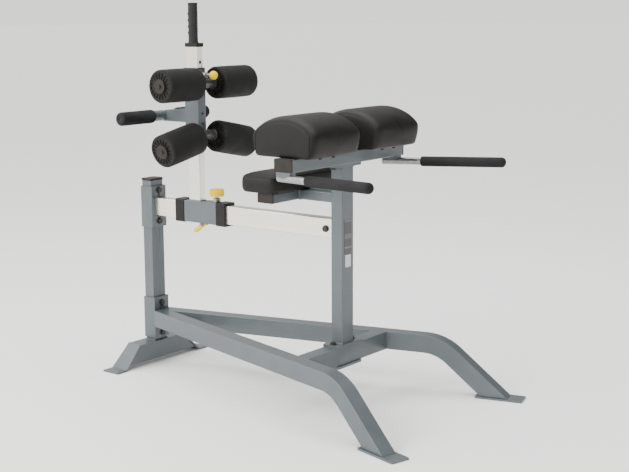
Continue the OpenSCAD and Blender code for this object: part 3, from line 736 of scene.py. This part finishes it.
def sleeve_profile(bore, outer, near, far, near_round, far_round, rings=0, depth=0.0):
    """Profile of a foam sleeve with rounded ends and optional shallow rings along it."""
    profile = [(bore, near)]
    profile += fillet((outer - near_round, near + near_round), near_round, 270, 360, 5)
    for i in range(rings * 4 + 1):
        share = i / (rings * 4) if rings else 0
        height = near + near_round + share * (far - far_round - near - near_round)
        dip = depth if i % 4 == 2 else 0
        profile.append((outer - dip, height))
    profile += fillet((outer - far_round, far - far_round), far_round, 0, 90, 8)
    return profile


def handle_grips():
    """Foam grips with domed ends on the two handles."""
    for side, name in ((1, "left"), (-1, "right")):
        start, direction, length = handle_line(side)
        far = length + 14 * MM
        profile = sleeve_profile(HANDLE_R, HANDLE_GRIP_R, HANDLE_BARE, far, 3 * MM, 13 * MM)
        profile += [(1 * MM, far), (1 * MM, length + 1 * MM), (HANDLE_R, length + 1 * MM)]
        grip = new_piece(f"handle_foam_{name}", lathe("grip", profile, frame_on(start, direction), 64),
                         "grip_foam", "frame")
        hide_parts("handle_grips")


def foot_bar_grips():
    """Foam grips on the foot bar, with rounded and closed outer ends."""
    low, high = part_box("foot_bar_grips")
    centre = Vector(((low.x + high.x) / 2, 0, (low.z + high.z) / 2))
    outer = (high.z - low.z) / 2
    for side, name in ((1, "left"), (-1, "right")):
        profile = sleeve_profile(13.2 * MM, outer, FOOT_GRIP_START, high.y, 5 * MM, 8 * MM)
        profile += [(1 * MM, high.y), (1 * MM, high.y - 5 * MM), (13.2 * MM, high.y - 5 * MM)]
        grip = new_piece(f"foot_bar_foam_{name}",
                         lathe("grip", profile, frame_on(centre, (0, side, 0)), 64),
                         "grip_foam", "roller_head")
        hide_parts("foot_bar_grips")


def top_rubber_grip():
    """Rubber grip with a flange at each end and finger ridges on its rear side."""
    low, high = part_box("top_grip")
    outer = 15.5 * MM
    centre = Vector((high.x - outer - 2 * MM, 0, low.z))
    height = high.z - low.z
    rings, sides = 150, 64
    points, faces = [], []
    for i in range(rings + 1):
        z = height * i / rings
        flare = 2 * MM * math.exp(-((z / (3 * MM)) ** 2))
        flare += 2 * MM * math.exp(-(((z - height) / (2.5 * MM)) ** 2))
        rib = 0.25 * MM * (1 + math.cos(2 * math.pi * z / (3.2 * MM)))
        finger = max(0.0, math.cos(2 * math.pi * (z - 32 * MM) / (20 * MM))) if 22 * MM < z < 106 * MM else 0
        for k in range(sides):
            angle = 2 * math.pi * k / sides
            rear = max(0.0, -math.cos(angle)) ** 1.5
            radius = outer - 0.5 * MM + flare + rib + 3.4 * MM * finger * rear
            points.append((centre.x + radius * math.cos(angle), radius * math.sin(angle), centre.z + z))
    for i in range(rings):
        for k in range(sides):
            a, b = i * sides, (i + 1) * sides
            faces.append((a + k, a + (k + 1) % sides, b + (k + 1) % sides, b + k))
    faces.append(tuple(reversed(range(sides))))
    faces.append(tuple(range(rings * sides, (rings + 1) * sides)))
    grip = new_piece("top_rubber", mesh_from("rubber", points, faces), "rubber", "carriage")
    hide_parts("top_grip")


def sleeve_screws():
    """Two small button-head screws that hold the sleeve's liner, on the head's front face."""
    _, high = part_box("height_sleeve")
    for i, z in enumerate(SCREW_HEIGHTS):
        place = frame_on((high.x, 0, z), (1, 0, 0))
        profile = [(1.6 * MM, 1.2 * MM), (1.6 * MM, 2.4 * MM)]
        profile += fillet((2.4 * MM, 0.4 * MM), 2 * MM, 90, 0, 6)
        profile += [(4.4 * MM, -0.5 * MM), (0.2 * MM, -0.5 * MM), (0.2 * MM, 1.2 * MM)]
        new_piece(f"sleeve_screw_{i + 1}", lathe("screw", profile, place, 24), "dark_steel",
                  "roller_head")


# ---------------------------------------------------------------- welds


def weld(name, body, path, radius=2.2 * MM, closed=True):
    """Rippled weld bead along a path."""
    spots = resample(path, 1.1 * MM, closed)
    radii = [radius * (1 + 0.16 * abs(math.sin(0.5 * math.pi * i / 2))) for i in range(len(spots))]
    return new_piece(name, tube_along("weld", spots, radii, closed, 8), "powder_coat", body)


def ring_z(low, high, z, gap=0.0):
    """Rectangle round a box at height z."""
    return [(low.x - gap, low.y - gap, z), (high.x + gap, low.y - gap, z),
            (high.x + gap, high.y + gap, z), (low.x - gap, high.y + gap, z)]


def ring_x(low, high, x):
    """Rectangle round a box at a place along X."""
    return [(x, low.y, low.z), (x, high.y, low.z), (x, high.y, high.z), (x, low.y, high.z)]


def welds():
    """Beads where the tubes and plates of the frame are welded."""
    low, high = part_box("rear_post")
    weld("weld_rear_post", "frame", ring_z(low, high, low.z))
    low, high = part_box("front_post")
    weld("weld_front_post_foot", "frame", ring_z(low, high, low.z))
    weld("weld_front_post_head", "frame", ring_z(low, high, high.z))
    low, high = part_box("rail")
    weld("weld_rail", "frame", ring_x(low, high, low.x))
    low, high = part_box("knee_arm")
    weld("weld_knee_bar", "frame", ring_x(low, high, low.x))
    weld("weld_knee_arm", "frame", ring_x(low, high, high.x))
    low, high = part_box("upright")
    weld("weld_upright", "carriage", ring_z(low, high, low.z))
    low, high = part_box("foot_bar_arm")
    weld("weld_foot_arm", "roller_head", ring_x(low, high, high.x), 1.8 * MM)


# ---------------------------------------------------------------- studio


def area_light(name, spot, aim, size, power, color=(1, 1, 1)):
    light = bpy.data.lights.new(name, "AREA")
    light.shape = "RECTANGLE"
    light.size, light.size_y = size
    light.energy = power
    light.color = color
    lamp = bpy.data.objects.new(name, light)
    lamp.location = spot
    lamp.rotation_euler = (Vector(aim) - Vector(spot)).to_track_quat("-Z", "Y").to_euler()
    bpy.context.scene.collection.objects.link(lamp)


def world_light(toward, dark, bright, horizon):
    """Surroundings that are brightest in one direction and dim away from it, over a pale horizon."""
    world = bpy.data.worlds.new("studio")
    world.use_nodes = True
    tree = world.node_tree
    sky = tree.nodes["Background"]
    sky.inputs["Color"].default_value = (1.0, 0.985, 0.96, 1)
    where = tree.nodes.new("ShaderNodeTexCoord")
    facing = tree.nodes.new("ShaderNodeVectorMath")
    facing.operation = "DOT_PRODUCT"
    facing.inputs[1].default_value = Vector(toward).normalized()
    fade = tree.nodes.new("ShaderNodeMapRange")
    fade.interpolation_type = "SMOOTHSTEP"
    fade.inputs["From Min"].default_value = -0.5
    fade.inputs["From Max"].default_value = 0.7
    fade.inputs["To Min"].default_value = dark
    fade.inputs["To Max"].default_value = bright
    height = tree.nodes.new("ShaderNodeSeparateXYZ")
    above = tree.nodes.new("ShaderNodeMapRange")
    above.inputs["From Min"].default_value = 0.03
    above.inputs["From Max"].default_value = 0.08
    above.inputs["To Min"].default_value = horizon
    tree.links.new(where.outputs["Generated"], facing.inputs[0])
    tree.links.new(facing.outputs["Value"], fade.inputs["Value"])
    tree.links.new(where.outputs["Generated"], height.inputs["Vector"])
    tree.links.new(height.outputs["Z"], above.inputs["Value"])
    tree.links.new(fade.outputs["Result"], above.inputs["To Max"])
    tree.links.new(above.outputs["Result"], sky.inputs["Strength"])
    bpy.context.scene.world = world


def studio():
    """Pale floor, surroundings brightest in front on the left, and three soft lights."""
    world_light((-0.55, -0.75, 0.35), 0.28, 2.5, 1.42)
    half = FLOOR_HALF
    floor = bpy.data.objects.new("floor", mesh_from(
        "floor", [(-half, -half, 0), (half, -half, 0), (half, half, 0), (-half, half, 0)], [(0, 1, 2, 3)]))
    floor.data.materials.append(principled("floor", (0.93, 0.93, 0.93), 0.8))
    bpy.context.scene.collection.objects.link(floor)
    area_light("key", (-1.9, -3.4, 3.0), (0, 0, 0.5), (2.4, 1.8), 150, (1, 0.985, 0.96))
    area_light("fill", (3.2, -1.2, 2.6), (0, 0, 0.6), (1.6, 1.6), 8)
    area_light("top", (0.2, 0.6, 3.6), (0, 0, 0.8), (3.0, 2.0), 70)


def camera():
    """Long lens in front of the bench's right side, slightly above it."""
    data = bpy.data.cameras.new("camera")
    data.lens = CAMERA_LENS
    data.sensor_width = 36
    data.clip_end = 100
    eye = bpy.data.objects.new("camera", data)
    back = Vector((math.sin(CAMERA_AZIMUTH) * math.cos(CAMERA_PITCH),
                   -math.cos(CAMERA_AZIMUTH) * math.cos(CAMERA_PITCH), math.sin(CAMERA_PITCH)))
    right = Vector((math.cos(CAMERA_AZIMUTH), math.sin(CAMERA_AZIMUTH), 0))
    turn = Matrix((right, back.cross(right), back)).transposed()
    roll = Matrix.Rotation(-CAMERA_ROLL, 3, "Z")
    eye.matrix_world = Matrix.Translation(CAMERA_SPOT) @ (turn @ roll).to_4x4()
    bpy.context.scene.collection.objects.link(eye)
    bpy.context.scene.camera = eye


camera()
studio()
finish_cad_nodes()
thigh_pad("left")
thigh_pad("right")
knee_cushion()
roller_foams()
handle_grips()
foot_bar_grips()
top_rubber_grip()
sleeve_screws()
welds()
